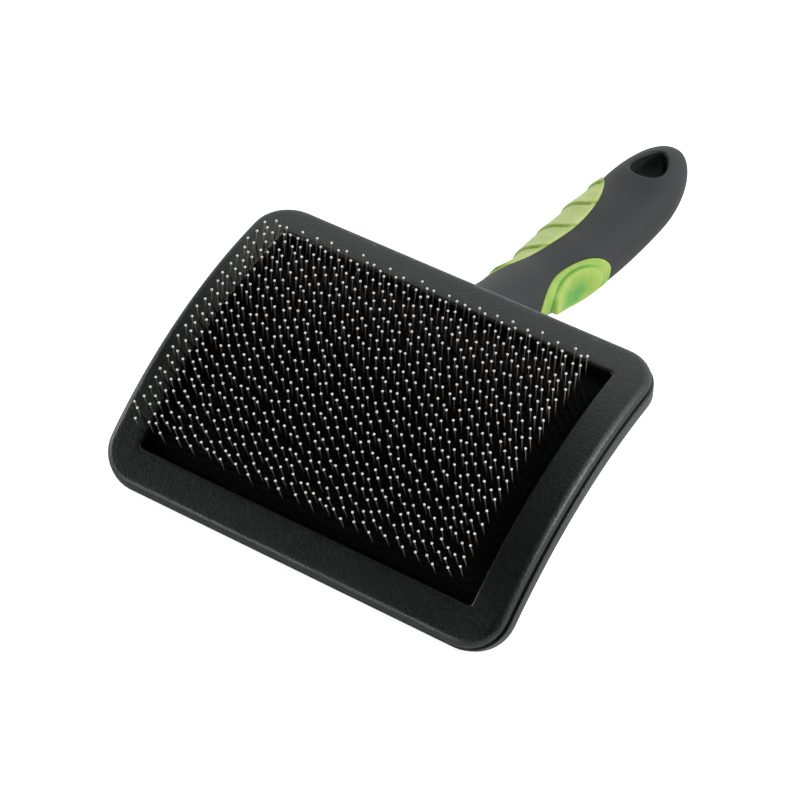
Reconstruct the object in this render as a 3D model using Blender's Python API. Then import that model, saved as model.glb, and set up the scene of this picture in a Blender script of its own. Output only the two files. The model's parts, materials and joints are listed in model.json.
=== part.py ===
"""A slicker brush for grooming pets, built as the pieces that it comes apart into.

The head is a shallow tray, curved over the X axis, with a raised frame round a pad of wire staples.
The pad sits on a foam cushion. The tray, the neck and the core of the handle are one moulding, and
the grip with its two inserts is moulded round the core.

The pieces are drawn in the head's own frame, in millimetres: the origin is on the crown of the
frame's face, X runs across the head, Y points to the handle and Z out of the bristles. The empty
named brush lays that frame down the way the brush rests on a table, on its back.
"""

import math

import bmesh
import bpy
from mathutils import Vector

MM = 0.001
GAP = 0.3

# The way the brush lies: turned about X until the near edge and the handle both touch the table.
REST_TILT = 24.5

# Head: half sizes of the frame, measured flat, before the head is curved.
HEAD_RADIUS = 122.0
FRAME_HALF_WIDTH = 60.3
FRAME_HALF_LENGTH = 46.6
FRAME_CORNER = 9.3
FRAME_THICKNESS = 3.0
OPENING_HALF_WIDTH = 52.0
OPENING_HALF_LENGTH = 37.3
OPENING_CORNER = 1.2
FLANGE_STEP = 2.3
ARC_STEPS = 12
CORNER_STEPS = 5

# Pad: heights below the frame's face.
PAD_FACE = -4.0
PAD_THICKNESS = 1.5
FOAM_THICKNESS = 4.0
PAD_CLEARANCE = 0.6
TRAY_FLOOR = PAD_FACE - PAD_THICKNESS - FOAM_THICKNESS - 2 * GAP

# Staples: one column runs along the handle's direction.
COLUMNS = 44
PINS_PER_COLUMN = 22
COLUMN_PITCH = 2.317
PIN_PITCH = 2.866
COLUMN_SHIFTS = (0.0, 0.75, 0.25, 0.5)
PIN_TIP = 12.0
PIN_BASE = 1.05
CROWN_WIDTH = 0.9
CROWN_DEPTH = 0.5

# Snap pegs under the frame, on the middle of its four sides.
PEG_RADIUS = 1.4
PEG_DEPTH = 2.7
PEG_SIDE_X = 56.2
PEG_SIDE_ARCS = (-20.0, 20.0)
PEG_END_ARC = 42.0
PEG_END_XS = (-28.0, 28.0)

# Handle: the four control points of its centreline, as (y, z), then half widths and thicknesses
# at stations along it. Past the last station the end is rounded off.
HANDLE_CONTROLS = ((46.0, -29.5), (78.9, -60.0), (108.5, -80.5), (145.3, -86.9))
HANDLE_STATIONS = (
    (0.00, 7.9, 7.8),
    (0.22, 9.3, 8.2),
    (0.41, 12.0, 9.1),
    (0.60, 11.9, 9.6),
    (0.75, 12.0, 9.3),
)
HANDLE_LENGTH = 120.0
HANDLE_SIDES = 20
HANDLE_ROUNDNESS = 2.2
GRIP_START = -0.012
CORE_END = 0.68
CORE_HALF_WIDTH = 5.0
CORE_HALF_THICKNESS = 4.0
NECK_STATIONS = ((-0.20, 21.0, 4.0), (-0.12, 14.0, 6.0), (-0.05, 9.2, 7.4))

# Hang hole: an egg shape, narrower to the handle's end, cut straight down as the brush lies.
HOLE_STATION = 0.853
HOLE_HALF_WIDTH = 5.0
HOLE_HALF_LENGTH = 7.3
HOLE_TAPER = 0.3

# Inserts, as patches of the handle's surface: middle and half length along the handle, and middle
# and half angle round it. Zero degrees is the +X flank and ninety degrees the top.
FINGER_PATCH = (0.445, 0.33, 172.0, 75.0)
THUMB_PATCH = (0.308, 0.148, -6.0, 57.0)
INSERT_DEPTH = 2.0
INSERT_PROUD = 0.3
POCKET_HEIGHT = 4.0
SCALE_COUNT = 5
SCALE_RISE = 0.7
FINGER_SWELL = 0.9
SWELL_MIDDLE = 0.68
SWELL_REACH = 0.45
PATCH_ROWS = 16
PATCH_COLUMNS = 8


def clear_scene():
    for old in list(bpy.data.objects):
        bpy.data.objects.remove(old)


def material(name, colour, roughness, metallic=0.0):
    made = bpy.data.materials.new(name)
    made.use_nodes = True
    shader = made.node_tree.nodes["Principled BSDF"]
    shader.inputs["Base Color"].default_value = (*colour, 1.0)
    shader.inputs["Roughness"].default_value = roughness
    shader.inputs["Metallic"].default_value = metallic
    return made


def add_object(name, bm, parent, finish=None):
    """Turn a bmesh in millimetres into an object, with its faces pointing out."""
    bmesh.ops.recalc_face_normals(bm, faces=bm.faces)
    bmesh.ops.scale(bm, vec=(MM, MM, MM), verts=bm.verts)
    mesh = bpy.data.meshes.new(name)
    bm.to_mesh(mesh)
    bm.free()
    mesh.shade_smooth()
    mesh.set_sharp_from_angle(angle=math.radians(35))
    made = bpy.data.objects.new(name, mesh)
    bpy.context.scene.collection.objects.link(made)
    made.parent = parent
    if finish:
        mesh.materials.append(finish)
    return made


def add_helper(name, bm, parent):
    """A cutter, or a shape that a Boolean joins to a piece."""
    helper = add_object(name, bm, parent)
    helper.hide_render = True
    helper.display_type = "WIRE"
    return helper


def add_boolean(target, operation, helper):
    modifier = target.modifiers.new(helper.name, "BOOLEAN")
    modifier.operation = operation
    modifier.object = helper
    modifier.solver = "EXACT"


# ---------------------------------------------------------------------------- the curved head


def on_head(x, arc, height):
    """The point over a place on the curved head, at a height above the frame's face."""
    angle = arc / HEAD_RADIUS
    radius = HEAD_RADIUS + height
    return Vector((x, radius * math.sin(angle), radius * math.cos(angle) - HEAD_RADIUS))


def rounded_ring(half_width, half_length, corner, height):
    """A rectangle with rounded corners, as flat (x, arc, height) points."""
    points = []
    for quarter in range(4):
        sign_x = 1 if quarter in (0, 3) else -1
        sign_y = 1 if quarter in (0, 1) else -1
        for step in range(CORNER_STEPS + 1):
            angle = math.radians(90 * (quarter + step / CORNER_STEPS))
            x = sign_x * (half_width - corner) + corner * math.cos(angle)
            y = sign_y * (half_length - corner) + corner * math.sin(angle)
            points.append((x, y, height))
    return points


def frame_ring(offset, height):
    """The frame's outline, moved outwards by an offset."""
    corner = max(FRAME_CORNER + offset, 1.5)
    return rounded_ring(
        FRAME_HALF_WIDTH + offset, FRAME_HALF_LENGTH + offset, corner, height
    )


def opening_ring(offset, height):
    """The opening's outline, moved outwards by an offset."""
    return rounded_ring(
        OPENING_HALF_WIDTH + offset,
        OPENING_HALF_LENGTH + offset,
        OPENING_CORNER,
        height,
    )


def skin(bm, rings, closed):
    """Join rings of equal length with quads. An open skin is capped at both ends."""
    loops = [[bm.verts.new(point) for point in ring] for ring in rings]
    pairs = list(zip(loops, loops[1:]))
    if closed:
        pairs.append((loops[-1], loops[0]))
    for upper, lower in pairs:
        for i, corner in enumerate(upper):
            j = (i + 1) % len(upper)
            bm.faces.new((corner, lower[i], lower[j], upper[j]))
    if not closed:
        bm.faces.new(loops[0])
        bm.faces.new(loops[-1])


def curved_solid(rings, closed=False):
    """A solid drawn flat from rings, cut across at even steps and then curved over the head."""
    bm = bmesh.new()
    skin(bm, rings, closed)
    reach = max(abs(arc) for ring in rings for _, arc, _ in ring)
    for step in range(1, ARC_STEPS):
        arc = reach * (2 * step / ARC_STEPS - 1)
        everything = bm.verts[:] + bm.edges[:] + bm.faces[:]
        bmesh.ops.bisect_plane(
            bm, geom=everything, plane_co=(0, arc, 0), plane_no=(0, 1, 0)
        )
    for vert in bm.verts:
        vert.co = on_head(*vert.co)
    return bm


def peg_solids(radius, top, bottom):
    """The eight snap pegs, or the sockets that they press into."""
    places = [(side * PEG_SIDE_X, arc) for side in (-1, 1) for arc in PEG_SIDE_ARCS]
    places += [(x, side * PEG_END_ARC) for side in (-1, 1) for x in PEG_END_XS]
    bm = bmesh.new()
    for x, arc in places:
        rings = []
        for height in (top, bottom):
            turns = [math.radians(45 * corner) for corner in range(8)]
            ring = [
                (x + radius * math.cos(turn), arc + radius * math.sin(turn))
                for turn in turns
            ]
            rings.append([on_head(px, py, height) for px, py in ring])
        skin(bm, rings, closed=False)
    return bm


def make_rim_frame(brush, finish):
    underside = -FRAME_THICKNESS
    rounded_edge = ((-0.8, 0.0), (0.4, -0.35), (1.2, -1.05), (1.6, -2.1), (1.6, -2.7))
    rings = [frame_ring(offset, height) for offset, height in rounded_edge]
    rings += [
        frame_ring(1.3, underside),
        opening_ring(0.0, underside),
        opening_ring(0.0, -0.5),
        opening_ring(0.5, 0.0),
    ]
    frame = add_object("rim_frame", curved_solid(rings, closed=True), brush, finish)
    pegs = peg_solids(PEG_RADIUS, underside + 1.0, underside - PEG_DEPTH)
    add_boolean(frame, "UNION", add_helper("frame_pegs", pegs, brush))
    return frame


def make_back_shell(brush, finish):
    """The tray, with the neck and the core of the handle joined to it and the tray hollowed."""
    seat = -FRAME_THICKNESS - GAP
    profile = (
        (FLANGE_STEP - 0.3, 0.0),
        (FLANGE_STEP, -0.35),
        (FLANGE_STEP, -3.5),
        (FLANGE_STEP - 0.9, -4.6),
        (FLANGE_STEP - 5.1, -7.1),
        (FLANGE_STEP - 10.6, -9.0),
    )
    rings = [frame_ring(offset, seat + drop) for offset, drop in profile]
    shell = add_object("back_shell", curved_solid(rings), brush, finish)
    add_boolean(shell, "UNION", add_helper("neck_and_core", neck_and_core(), brush))
    hollow = [opening_ring(0.0, height) for height in (5.0, TRAY_FLOOR)]
    add_boolean(
        shell, "DIFFERENCE", add_helper("tray_hollow", curved_solid(hollow), brush)
    )
    sockets = peg_solids(PEG_RADIUS + GAP, seat + 2.0, seat - PEG_DEPTH - GAP)
    add_boolean(shell, "DIFFERENCE", add_helper("peg_sockets", sockets, brush))
    return shell


def make_pad_layer(name, top, thickness, clearance, parent, finish):
    rings = [opening_ring(-clearance, height) for height in (top, top - thickness)]
    return add_object(name, curved_solid(rings), parent, finish)


def staple_column(x, shift):
    """One column of staples: a crown strip along the pad, with a tapered wire at each pin."""
    bm = bmesh.new()
    crown_top = PAD_FACE + GAP + CROWN_DEPTH
    half = CROWN_WIDTH / 2
    middle = (PINS_PER_COLUMN - 1) / 2 + 0.375
    arcs = [(i + shift - middle) * PIN_PITCH for i in range(PINS_PER_COLUMN)]
    lefts, rights, ridge = [], [], []
    for i, arc in enumerate(arcs):
        edges = (arc - PIN_BASE / 2, arc + PIN_BASE / 2)
        left = [bm.verts.new(on_head(x - half, edge, crown_top)) for edge in edges]
        right = [bm.verts.new(on_head(x + half, edge, crown_top)) for edge in edges]
        tip = bm.verts.new(on_head(x, arc, PIN_TIP))
        base = [left[0], left[1], right[1], right[0]]
        for corner, following in zip(base, base[1:] + base[:1]):
            bm.faces.new((corner, following, tip))
        if i:
            bm.faces.new((lefts[-1], left[0], right[0], rights[-1]))
        lefts += left
        rights += right
        if i % 2 == 0 or i == PINS_PER_COLUMN - 1:
            end = edges[1] if i == PINS_PER_COLUMN - 1 else edges[0]
            ridge.append(bm.verts.new(on_head(x, end, PAD_FACE + GAP)))
    for side in (lefts, rights):
        for step in range(len(ridge) - 1):
            last = step == len(ridge) - 2
            above = side[4 * step :] if last else side[4 * step : 4 * step + 5]
            bm.faces.new(above + [ridge[step + 1], ridge[step]])
    bm.faces.new((lefts[0], rights[0], ridge[0]))
    bm.faces.new((lefts[-1], rights[-1], ridge[-1]))
    return bm


# ---------------------------------------------------------------------------- the handle


def handle_point(t):
    """The centreline at t, a cubic Bezier curve in the plane of symmetry."""
    weights = ((1 - t) ** 3, 3 * (1 - t) ** 2 * t, 3 * (1 - t) * t**2, t**3)
    y = sum(w * point[0] for w, point in zip(weights, HANDLE_CONTROLS))
    z = sum(w * point[1] for w, point in zip(weights, HANDLE_CONTROLS))
    return Vector((0, y, z))


def handle_up(t):
    """The unit vector square to the centreline, towards the bristle side."""
    along = (handle_point(t + 0.001) - handle_point(t - 0.001)).normalized()
    return Vector((0, -along.z, along.y))


def between_stations(stations, t):
    """Half width and half thickness at t, eased from one station to the next."""
    if t <= stations[0][0]:
        return stations[0][1:]
    for (t0, w0, h0), (t1, w1, h1) in zip(stations, stations[1:]):
        if t <= t1:
            share = (t - t0) / (t1 - t0)
            share = share * share * (3 - 2 * share)
            return w0 + (w1 - w0) * share, h0 + (h1 - h0) * share
    return stations[-1][1:]


def handle_size(t):
    width, thickness = between_stations(HANDLE_STATIONS, t)
    last = HANDLE_STATIONS[-1][0]
    if t > last:
        rounding = math.sqrt(max(1 - ((t - last) / (1 - last)) ** 2, 0.0))
        width *= rounding
        thickness *= rounding
    return width, thickness


def section_point(t, degrees, size, grow=0.0):
    """A point on the rounded section at t, pushed outwards by grow."""
    angle = math.radians(degrees)
    cosine, sine = math.cos(angle), math.sin(angle)
    power = 2 / HANDLE_ROUNDNESS
    across = math.copysign(abs(cosine) ** power, cosine) * (size[0] + grow)
    upwards = math.copysign(abs(sine) ** power, sine) * (size[1] + grow)
    return handle_point(t) + Vector((across, 0, 0)) + handle_up(t) * upwards


def section_ring(t, size, grow=0.0):
    turns = [360 * side / HANDLE_SIDES for side in range(HANDLE_SIDES)]
    return [section_point(t, degrees, size, grow) for degrees in turns]


def core_rings(first, last, grow):
    size = (CORE_HALF_WIDTH + grow, CORE_HALF_THICKNESS + grow)
    steps = 8
    stations = [first + (last - first) * step / steps for step in range(steps + 1)]
    return [section_ring(t, size) for t in stations]


def neck_and_core():
    """The neck, which widens into the back of the tray, and the core inside the grip."""
    stations = NECK_STATIONS + HANDLE_STATIONS[:1]
    neck_end = GRIP_START - GAP / HANDLE_LENGTH
    rings = []
    for t in (-0.20, -0.16, -0.12, -0.08, -0.04, neck_end):
        size = between_stations(stations, t) if t < 0 else handle_size(t)
        rings.append(section_ring(t, size))
    rings += core_rings(neck_end + 0.002, CORE_END, 0.0)
    bm = bmesh.new()
    skin(bm, rings, closed=False)
    return bm


def patch_solid(patch, outer, depth, grow=0.0):
    """A leaf-shaped patch of the handle's surface. outer(share) is how far it stands proud."""
    middle, half_length, centre, half_angle = patch
    half_length += grow / HANDLE_LENGTH
    half_angle += math.degrees(grow / HANDLE_STATIONS[2][1])
    bm = bmesh.new()
    tops, bottoms = [], []
    for row in range(PATCH_ROWS + 1):
        along = -math.cos(math.pi * row / PATCH_ROWS)
        t = middle + half_length * along
        reach = max((1 - abs(along) ** 2.2) ** (1 / 2.2), 0.12) * half_angle
        top_row, bottom_row = [], []
        for column in range(PATCH_COLUMNS + 1):
            degrees = centre + reach * (2 * column / PATCH_COLUMNS - 1)
            size = handle_size(t)
            share = (along + 1) / 2
            above = section_point(t, degrees, size, outer(share))
            below = section_point(t, degrees, size, -depth - grow)
            top_row.append(bm.verts.new(above))
            bottom_row.append(bm.verts.new(below))
        tops.append(top_row)
        bottoms.append(bottom_row)
    for row in range(PATCH_ROWS):
        for column in range(PATCH_COLUMNS):
            for grid in (tops, bottoms):
                low, high = grid[row], grid[row + 1]
                bm.faces.new(
                    (low[column], low[column + 1], high[column + 1], high[column])
                )
        for column in (0, PATCH_COLUMNS):
            corners = (tops[row][column], tops[row + 1][column])
            bm.faces.new((*corners, bottoms[row + 1][column], bottoms[row][column]))
    for row in (0, PATCH_ROWS):
        for column in range(PATCH_COLUMNS):
            corners = (tops[row][column], tops[row][column + 1])
            bm.faces.new((*corners, bottoms[row][column + 1], bottoms[row][column]))
    return bm


def scale_height(share):
    """Overlapping scales, each highest at its headward edge, on a swell that fills the hand."""
    place = share * SCALE_COUNT % 1.0
    swell = max(1 - ((share - SWELL_MIDDLE) / SWELL_REACH) ** 2, 0.0)
    ends = min(4 * share, 4 * (1 - share), 1.0)
    return INSERT_PROUD + (FINGER_SWELL * swell + SCALE_RISE * (1 - place)) * ends


def even_height(height):
    """A height function for patch_solid that is the same all over the patch."""
    return lambda share: height


def hole_solid():
    """The hang hole's cutter, an egg-shaped prism that stands upright when the brush lies down."""
    tilt = math.radians(REST_TILT)
    upright = Vector((0, math.sin(tilt), math.cos(tilt)))
    forward = Vector((0, math.cos(tilt), -math.sin(tilt)))
    centre = handle_point(HOLE_STATION)
    rings = []
    for lift in (-20.0, 20.0):
        ring = []
        for side in range(16):
            turn = math.radians(360 * side / 16)
            width = HOLE_HALF_WIDTH * (1 - HOLE_TAPER * math.sin(turn))
            across = Vector((width * math.cos(turn), 0, 0))
            lengthwise = forward * (HOLE_HALF_LENGTH * math.sin(turn))
            ring.append(centre + across + lengthwise + upright * lift)
        rings.append(ring)
    bm = bmesh.new()
    skin(bm, rings, closed=False)
    return bm


def make_handle_grip(brush, finish):
    stations = [GRIP_START, 0.04, 0.09, 0.16, 0.22, 0.28, 0.34, 0.41, 0.47, 0.54, 0.60, 0.68, 0.75]
    stations += [0.80, 0.85, 0.89, 0.93, 0.96, 0.98, 0.993]
    bm = bmesh.new()
    skin(bm, [section_ring(t, handle_size(t)) for t in stations], closed=False)
    grip = add_object("handle_grip", bm, brush, finish)
    bore = bmesh.new()
    skin(bore, core_rings(GRIP_START - 0.02, CORE_END + 0.005, GAP), closed=False)
    cutters = {
        "core_bore": bore,
        "finger_pocket": patch_solid(FINGER_PATCH, even_height(POCKET_HEIGHT), INSERT_DEPTH, GAP),
        "thumb_pocket": patch_solid(THUMB_PATCH, even_height(POCKET_HEIGHT), INSERT_DEPTH, GAP),
        "hang_hole": hole_solid(),
    }
    for name, cutter in cutters.items():
        add_boolean(grip, "DIFFERENCE", add_helper(name, cutter, brush))
    return grip


# ---------------------------------------------------------------------------- the assembly


def set_down(brush, pieces):
    """Lay the brush on its back, with the middle of its footprint at the world's origin."""
    brush.rotation_euler = (math.radians(REST_TILT), 0, 0)
    bpy.context.view_layer.update()
    graph = bpy.context.evaluated_depsgraph_get()
    points = []
    for piece in pieces:
        evaluated = piece.evaluated_get(graph)
        mesh = evaluated.to_mesh()
        points += [evaluated.matrix_world @ vert.co for vert in mesh.vertices]
        evaluated.to_mesh_clear()
    lows = [min(point[axis] for point in points) for axis in range(3)]
    highs = [max(point[axis] for point in points) for axis in range(3)]
    brush.location = (
        -(lows[0] + highs[0]) / 2,
        -(lows[1] + highs[1]) / 2,
        -lows[2],
    )
    bpy.context.view_layer.update()
    print("brush frame placed at", [round(value, 6) for value in brush.location])
    print("size in mm", [round((high - low) / MM, 2) for low, high in zip(lows, highs)])


def main():
    clear_scene()
    black = material("black ABS", (0.020, 0.022, 0.022), 0.5)
    rubber = material("dark grey soft grip", (0.055, 0.060, 0.062), 0.6)
    green = material("lime soft grip", (0.42, 0.62, 0.10), 0.5)
    felt = material("black pad fabric", (0.010, 0.010, 0.011), 0.9)
    foam = material("grey foam", (0.10, 0.10, 0.11), 0.9)
    steel = material("steel wire", (0.60, 0.60, 0.58), 0.3, 1.0)

    brush = bpy.data.objects.new("brush", None)
    bpy.context.scene.collection.objects.link(brush)
    pad = bpy.data.objects.new("sprung_pad", None)
    bpy.context.scene.collection.objects.link(pad)
    pad.parent = brush

    pieces = [
        make_rim_frame(brush, black),
        make_back_shell(brush, black),
        make_handle_grip(brush, rubber),
    ]
    pieces.append(
        make_pad_layer(
            "foundation_pad", PAD_FACE, PAD_THICKNESS, PAD_CLEARANCE, pad, felt
        )
    )
    foam_top = PAD_FACE - PAD_THICKNESS - GAP
    pieces.append(
        make_pad_layer(
            "foam_cushion", foam_top, FOAM_THICKNESS, 2 * PAD_CLEARANCE, brush, foam
        )
    )
    inserts = (
        ("finger_grip", FINGER_PATCH, scale_height),
        ("thumb_rest", THUMB_PATCH, even_height(INSERT_PROUD)),
    )
    for name, patch, height in inserts:
        solid = patch_solid(patch, height, INSERT_DEPTH)
        pieces.append(add_object(name, solid, brush, green))
    for column in range(COLUMNS):
        x = (column - (COLUMNS - 1) / 2) * COLUMN_PITCH
        shift = COLUMN_SHIFTS[column % len(COLUMN_SHIFTS)]
        name = f"staple_column_{column + 1:02d}"
        pieces.append(add_object(name, staple_column(x, shift), pad, steel))
    set_down(brush, pieces)


main()
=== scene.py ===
# %% [markdown]
# # A slicker brush for pets
#
# This brush has a curved head with a framed pad of bent wire pins, and a soft handle with two lime
# inserts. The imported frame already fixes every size, place and joint, so this script only makes
# the looks: it rebuilds each visible piece finely round the frame's solids, gives it a finish, and
# tells the frame which body it moves with.

# %% Load the frame
import json
import math

import bmesh
import bpy
from mathutils import Matrix, Vector
from mathutils.bvhtree import BVHTree


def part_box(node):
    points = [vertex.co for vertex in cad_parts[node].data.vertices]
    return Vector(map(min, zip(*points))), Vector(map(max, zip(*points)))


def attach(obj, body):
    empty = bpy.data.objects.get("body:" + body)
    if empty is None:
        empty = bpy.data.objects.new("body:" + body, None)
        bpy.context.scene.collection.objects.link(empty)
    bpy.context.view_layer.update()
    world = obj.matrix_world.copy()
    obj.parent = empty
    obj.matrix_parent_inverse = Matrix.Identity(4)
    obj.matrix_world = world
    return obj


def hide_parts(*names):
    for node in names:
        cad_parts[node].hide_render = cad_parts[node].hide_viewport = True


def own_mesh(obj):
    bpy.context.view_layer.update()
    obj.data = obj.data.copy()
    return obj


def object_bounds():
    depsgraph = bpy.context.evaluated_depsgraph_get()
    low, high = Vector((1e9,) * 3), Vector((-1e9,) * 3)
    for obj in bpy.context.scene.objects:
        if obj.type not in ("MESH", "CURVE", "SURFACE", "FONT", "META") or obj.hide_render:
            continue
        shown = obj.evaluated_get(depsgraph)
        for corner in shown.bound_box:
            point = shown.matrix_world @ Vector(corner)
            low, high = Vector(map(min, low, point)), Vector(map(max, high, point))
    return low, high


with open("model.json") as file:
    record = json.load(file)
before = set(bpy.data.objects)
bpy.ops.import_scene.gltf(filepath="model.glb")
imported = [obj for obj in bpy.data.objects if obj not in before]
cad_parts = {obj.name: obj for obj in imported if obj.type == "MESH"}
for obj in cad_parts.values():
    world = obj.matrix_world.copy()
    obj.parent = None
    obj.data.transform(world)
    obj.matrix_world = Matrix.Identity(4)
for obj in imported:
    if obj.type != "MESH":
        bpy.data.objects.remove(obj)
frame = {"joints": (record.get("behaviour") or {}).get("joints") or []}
cad_low, cad_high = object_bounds()
print("CAD size in mm:", [round(side * 1000, 1) for side in cad_high - cad_low])

# %% [markdown]
# ## One place to measure from
#
# The head is part of a drum that lies across the brush, and its crown is a natural place to
# measure from. X runs across the head, the arc runs round the drum to the handle, and the height
# stands out of the bristle side. The brush lies on its back, so this head frame is tilted in the
# world. The pad's spring pushes straight out of the crown, so the joint's axis gives the tilt, and
# two edges of the pad's solid give the place. All shapes below are drawn in the head frame, in
# millimetres, and one matrix puts them in the world.

# %% The head frame
MM = 0.001
HEAD_RADIUS = 122.0
PAD_FACE = -4.0
PAD_HALF_WIDTH = 51.4
PAD_HALF_LENGTH = 36.7


def on_head(x, arc, height):
    """The point over a place on the curved head, at a height above the frame's face."""
    angle = arc / HEAD_RADIUS
    radius = HEAD_RADIUS + height
    return Vector((x, radius * math.sin(angle), radius * math.cos(angle) - HEAD_RADIUS))


press_axis = Vector(frame["joints"][0]["axis"])
tilt = math.atan2(-press_axis.y, press_axis.z)
tilted = Matrix.Rotation(tilt, 4, "X")
pad_low, pad_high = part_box("foundation_pad")
pad_near = tilted @ on_head(0, -PAD_HALF_LENGTH, PAD_FACE)
pad_far = tilted @ on_head(0, PAD_HALF_LENGTH, PAD_FACE)
crown = Vector((0, pad_low.y / MM - pad_near.y, pad_high.z / MM - pad_far.z))
HEAD_TO_WORLD = Matrix.Scale(MM, 4) @ Matrix.Translation(crown) @ tilted
print("tilt in degrees:", round(math.degrees(tilt), 2), "crown in mm:", crown)

# %% [markdown]
# ## Helpers
#
# Three small functions do the work that every piece needs. The first one turns a hex colour, as a
# colour picker shows it, to the linear values that a shader reads. The second adds a node to any
# tree, shader or geometry, with its settings and links. The third turns a finished mesh into a
# piece: it moves the points into the world, so that the object itself stays at the origin, shades
# it smooth up to a crease, and says which body it rides on and which solids it stands for.


# %% Colour, node and piece helpers
def srgb(code):
    """The linear RGBA of a hex sRGB colour such as #9bc855."""
    channels = [int(code[start : start + 2], 16) / 255 for start in (1, 3, 5)]
    linear = [
        value / 12.92 if value <= 0.04045 else ((value + 0.055) / 1.055) ** 2.4
        for value in channels
    ]
    return (*linear, 1.0)


def add_node(tree, kind, inputs=None, settings=None):
    """Add a node. An input is given a value, or a socket to be linked to."""
    node = tree.nodes.new(kind)
    for name, value in (settings or {}).items():
        setattr(node, name, value)
    for socket, value in (inputs or {}).items():
        if isinstance(value, bpy.types.NodeSocket):
            tree.links.new(value, node.inputs[socket])
        else:
            node.inputs[socket].default_value = value
    return node


def add_piece(name, mesh, finishes, body, replaced, crease=35):
    """Make a piece from a mesh that is drawn in the head frame, in millimetres."""
    mesh.transform(HEAD_TO_WORLD)
    mesh.shade_smooth()
    mesh.set_sharp_from_angle(angle=math.radians(crease))
    for finish in finishes:
        mesh.materials.append(finish)
    piece = bpy.data.objects.new(name, mesh)
    bpy.context.scene.collection.objects.link(piece)
    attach(piece, body)
    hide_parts(*replaced)
    print(name, "has", len(mesh.polygons), "faces")
    return piece


# %% [markdown]
# ## Finish: moulded black ABS
#
# The frame and the tray are ABS, injected into a mould whose wall was spark eroded. That leaves a
# fine grain, drawn here at 0.8 mm so that it shows, which breaks the gloss into a soft sheen.
# Edges that meet the table wear smoother and paler, most of all along the far edge of the frame.
# Noise makes the grain, a slow noise makes the sheen uneven, and stretched noise, held to a band
# along that edge, makes the scuffs.


# %% Start a material, and moulded ABS
def start_material(name):
    material = bpy.data.materials.new(name)
    material.use_nodes = True
    tree = material.node_tree
    shader = tree.nodes["Principled BSDF"]
    place = add_node(tree, "ShaderNodeTexCoord").outputs["Object"]
    return material, tree, shader, place


def per_mm(size):
    """The texture scale that makes a pattern's feature this many millimetres wide."""
    return 1 / (size * MM)


def moulded_abs():
    material, tree, shader, place = start_material("moulded black ABS")
    shader.inputs["IOR"].default_value = 1.53
    grain = add_node(
        tree, "ShaderNodeTexNoise", {"Vector": place, "Scale": per_mm(0.8), "Detail": 4.0}
    )
    cloud = add_node(
        tree, "ShaderNodeTexNoise", {"Vector": place, "Scale": per_mm(14), "Detail": 4.0}
    )
    stretched = add_node(tree, "ShaderNodeMapping", {"Vector": place, "Scale": (0.25, 1.0, 1.0)})
    streaks = add_node(
        tree,
        "ShaderNodeTexNoise",
        {"Vector": stretched.outputs[0], "Scale": per_mm(1.1), "Detail": 6.0, "Roughness": 0.7},
    )
    split = add_node(tree, "ShaderNodeSeparateXYZ", {"Vector": place})
    rim_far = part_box("rim_frame")[1]
    edge = add_node(
        tree,
        "ShaderNodeMapRange",
        {
            "Value": split.outputs["Y"],
            "From Min": rim_far.y - 3.5 * MM,
            "From Max": rim_far.y - 0.3 * MM,
        },
    )
    top = add_node(
        tree,
        "ShaderNodeMapRange",
        {
            "Value": split.outputs["Z"],
            "From Min": rim_far.z - 1.6 * MM,
            "From Max": rim_far.z - 1.0 * MM,
        },
    )
    flecks = add_node(
        tree,
        "ShaderNodeMapRange",
        {"Value": streaks.outputs[0], "From Min": 0.56, "From Max": 0.66},
    )
    along_edge = add_node(
        tree, "ShaderNodeMath", {0: edge.outputs[0], 1: top.outputs[0]}, {"operation": "MULTIPLY"}
    )
    scuffs = add_node(
        tree,
        "ShaderNodeMath",
        {0: along_edge.outputs[0], 1: flecks.outputs[0]},
        {"operation": "MULTIPLY"},
    )
    speckle = add_node(
        tree, "ShaderNodeMapRange", {"Value": grain.outputs[0], "From Min": 0.4, "From Max": 0.65}
    )
    body = add_node(
        tree,
        "ShaderNodeMix",
        {"Factor": speckle.outputs[0], 6: srgb("#030606"), 7: srgb("#171e1d")},
        {"data_type": "RGBA"},
    )
    worn = add_node(
        tree,
        "ShaderNodeMix",
        {"Factor": scuffs.outputs[0], 6: body.outputs[2], 7: srgb("#8b9390")},
        {"data_type": "RGBA"},
    )
    tree.links.new(worn.outputs[2], shader.inputs["Base Color"])
    sheen = add_node(
        tree,
        "ShaderNodeMapRange",
        {"Value": cloud.outputs[0], "To Min": 0.32, "To Max": 0.44},
    )
    tree.links.new(sheen.outputs[0], shader.inputs["Roughness"])
    bump = add_node(
        tree, "ShaderNodeBump", {"Height": grain.outputs[0], "Strength": 0.9, "Distance": 0.12 * MM}
    )
    tree.links.new(bump.outputs[0], shader.inputs["Normal"])
    return material
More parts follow.
